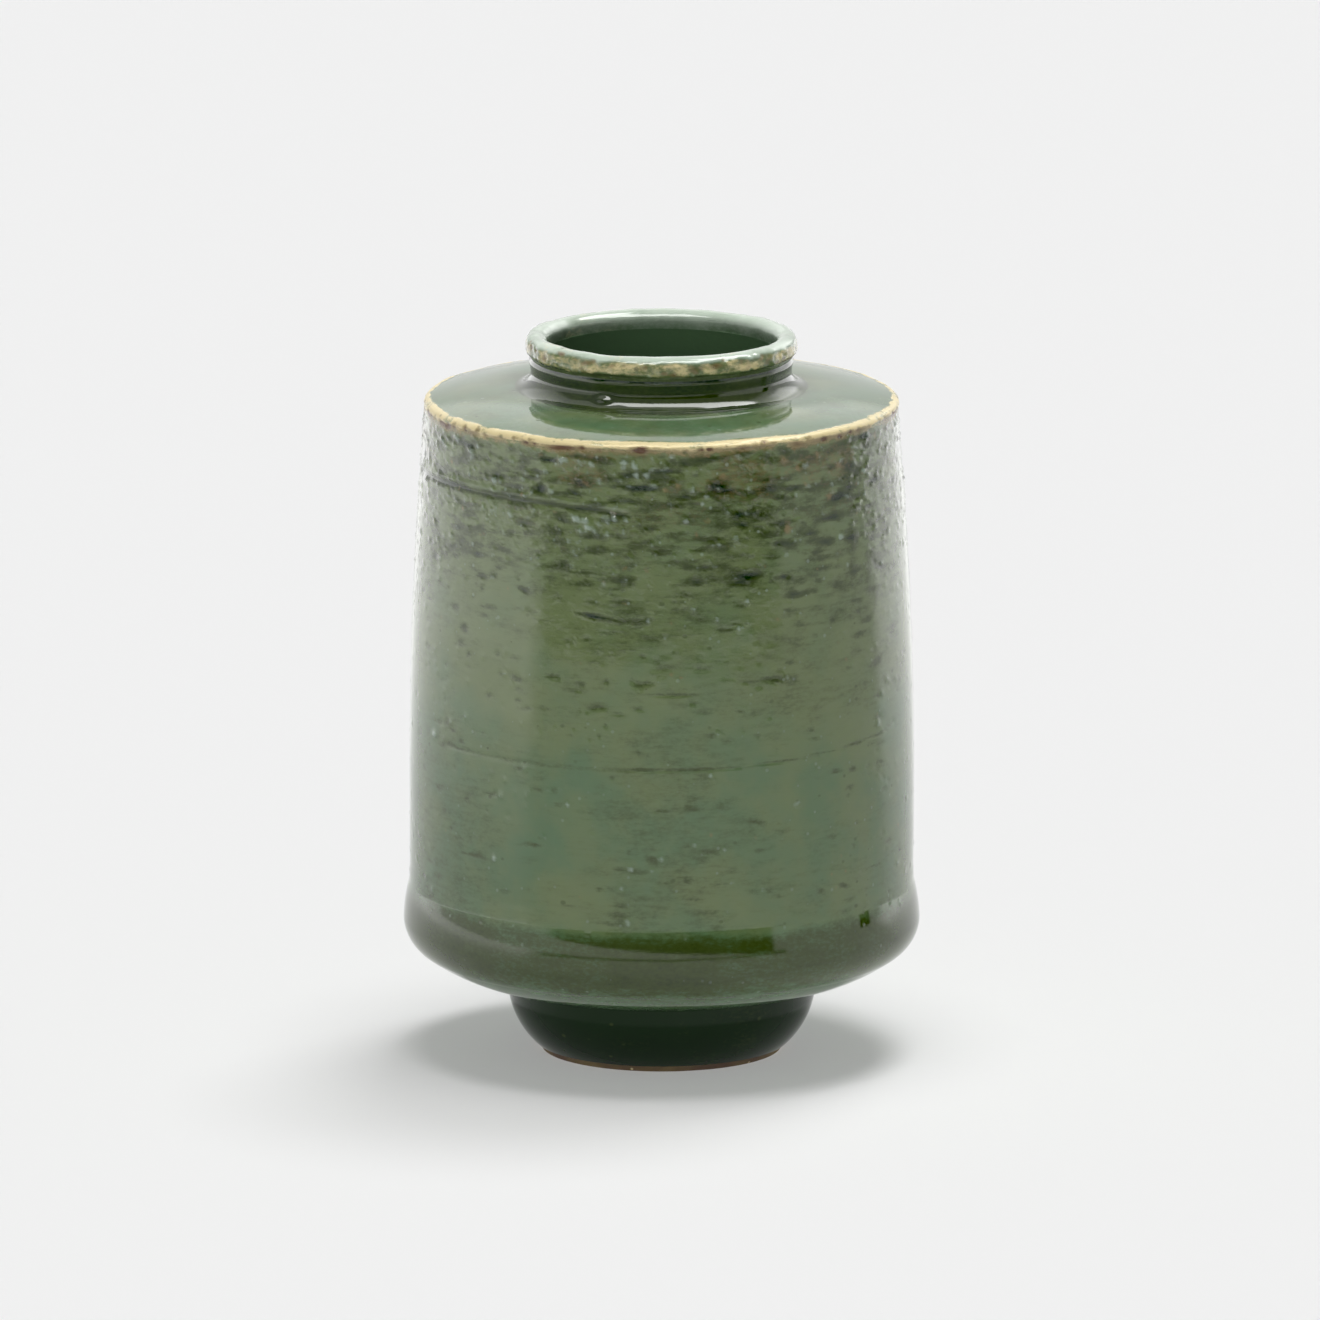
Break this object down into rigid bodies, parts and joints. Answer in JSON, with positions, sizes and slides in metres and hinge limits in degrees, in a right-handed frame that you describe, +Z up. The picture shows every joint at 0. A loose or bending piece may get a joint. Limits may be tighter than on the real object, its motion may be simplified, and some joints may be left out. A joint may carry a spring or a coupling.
{
  "type": "bud vase",
  "caption": "Small stoneware bud vase with a flat shoulder, short collar neck with a rolled lip, bellied base on a turned foot ring, and glossy sage-green glaze.",
  "frame": {"origin": "centre of the foot's resting face, at the bottom of the vase", "axes": "+Z up along the axis that the vase is turned about; X and Y level, with no front"},
  "size_m": [0.0638, 0.0638, 0.09],
  "materials": {
    "bare_clay": "matte",
    "clay_body": "matte",
    "lip_glaze": "gloss",
    "neck_glaze": "gloss",
    "shoulder_glaze": "gloss",
    "wall_glaze": "gloss",
    "belly_glaze": "gloss",
    "foot_glaze": "gloss",
    "liner_glaze": "gloss"
  },
  "bodies": {
    "root": {"foot_ring": "bare_clay", "base_floor": "bare_clay", "belly_bowl": "clay_body", "body_wall": "clay_body", "shoulder_plate": "clay_body", "neck_collar": "clay_body", "lip_roll": "clay_body", "lip_glaze": "lip_glaze", "neck_glaze": "neck_glaze", "shoulder_glaze": "shoulder_glaze", "wall_glaze": "wall_glaze", "belly_glaze": "belly_glaze", "foot_glaze": "foot_glaze", "liner_glaze": "liner_glaze"}
  },
  "joints": []
}
